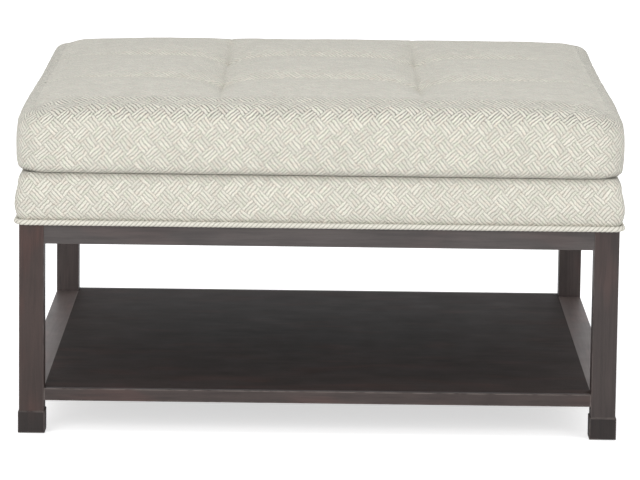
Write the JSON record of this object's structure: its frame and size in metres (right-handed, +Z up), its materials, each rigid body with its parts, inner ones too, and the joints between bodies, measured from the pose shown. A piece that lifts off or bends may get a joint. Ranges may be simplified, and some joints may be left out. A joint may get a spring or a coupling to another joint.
{
  "type": "ottoman coffee table",
  "caption": "Square upholstered ottoman coffee table: biscuit-tufted cushion on a padded deck, over a slim dark wood frame with a low open shelf.",
  "frame": {"origin": "on the floor, under the middle of the table", "axes": "+Z up, +X to the right and -Y towards the front, seen from the front"},
  "size_m": [0.9296, 0.9296, 0.5245],
  "materials": {
    "espresso_wood": "satin",
    "plain_wood": "matte",
    "plywood": "matte",
    "upholstery_fabric": "matte",
    "foam": "matte",
    "dust_cloth": "matte",
    "tufting_twine": "matte",
    "toggle_plastic": "matte",
    "glide_nylon": "satin",
    "zinc_screw": "satin"
  },
  "bodies": {
    "root": {"apron_front": "espresso_wood", "apron_left": "espresso_wood", "apron_rear": "espresso_wood", "apron_right": "espresso_wood", "base_welt": "upholstery_fabric", "border_cover": "upholstery_fabric", "border_pad_front": "foam", "border_pad_left": "foam", "border_pad_rear": "foam", "border_pad_right": "foam", "corner_block_front_left": "plain_wood", "corner_block_front_right": "plain_wood", "corner_block_rear_left": "plain_wood", "corner_block_rear_right": "plain_wood", "corner_block_screws": "zinc_screw", "cushion_board": "plywood", "cushion_cover": "upholstery_fabric", "cushion_foam": "foam", "cushion_screws": "zinc_screw", "deck_board": "plywood", "deck_board_screws": "zinc_screw", "deck_brace": "plain_wood", "deck_corner_block_front_left": "plain_wood", "deck_corner_block_front_right": "plain_wood", "deck_corner_block_rear_left": "plain_wood", "deck_corner_block_rear_right": "plain_wood", "deck_fixing_screws": "zinc_screw", "deck_rail_front": "plain_wood", "deck_rail_left": "plain_wood", "deck_rail_rear": "plain_wood", "deck_rail_right": "plain_wood", "deck_rail_screws": "zinc_screw", "dust_cover": "dust_cloth", "foot_block_front_left": "espresso_wood", "foot_block_front_right": "espresso_wood", "foot_block_rear_left": "espresso_wood", "foot_block_rear_right": "espresso_wood", "foot_dowels": "plain_wood", "foot_glides": "glide_nylon", "leg_front_left": "espresso_wood", "leg_front_right": "espresso_wood", "leg_rear_left": "espresso_wood", "leg_rear_right": "espresso_wood", "shelf_edging_front": "espresso_wood", "shelf_edging_rear": "espresso_wood", "shelf_panel": "espresso_wood", "shelf_panel_dowels": "plain_wood", "shelf_rail_dowels": "plain_wood", "shelf_rail_left": "espresso_wood", "shelf_rail_right": "espresso_wood", "tuft_toggles": "toggle_plastic", "tuft_twines": "tufting_twine"}
  },
  "joints": []
}
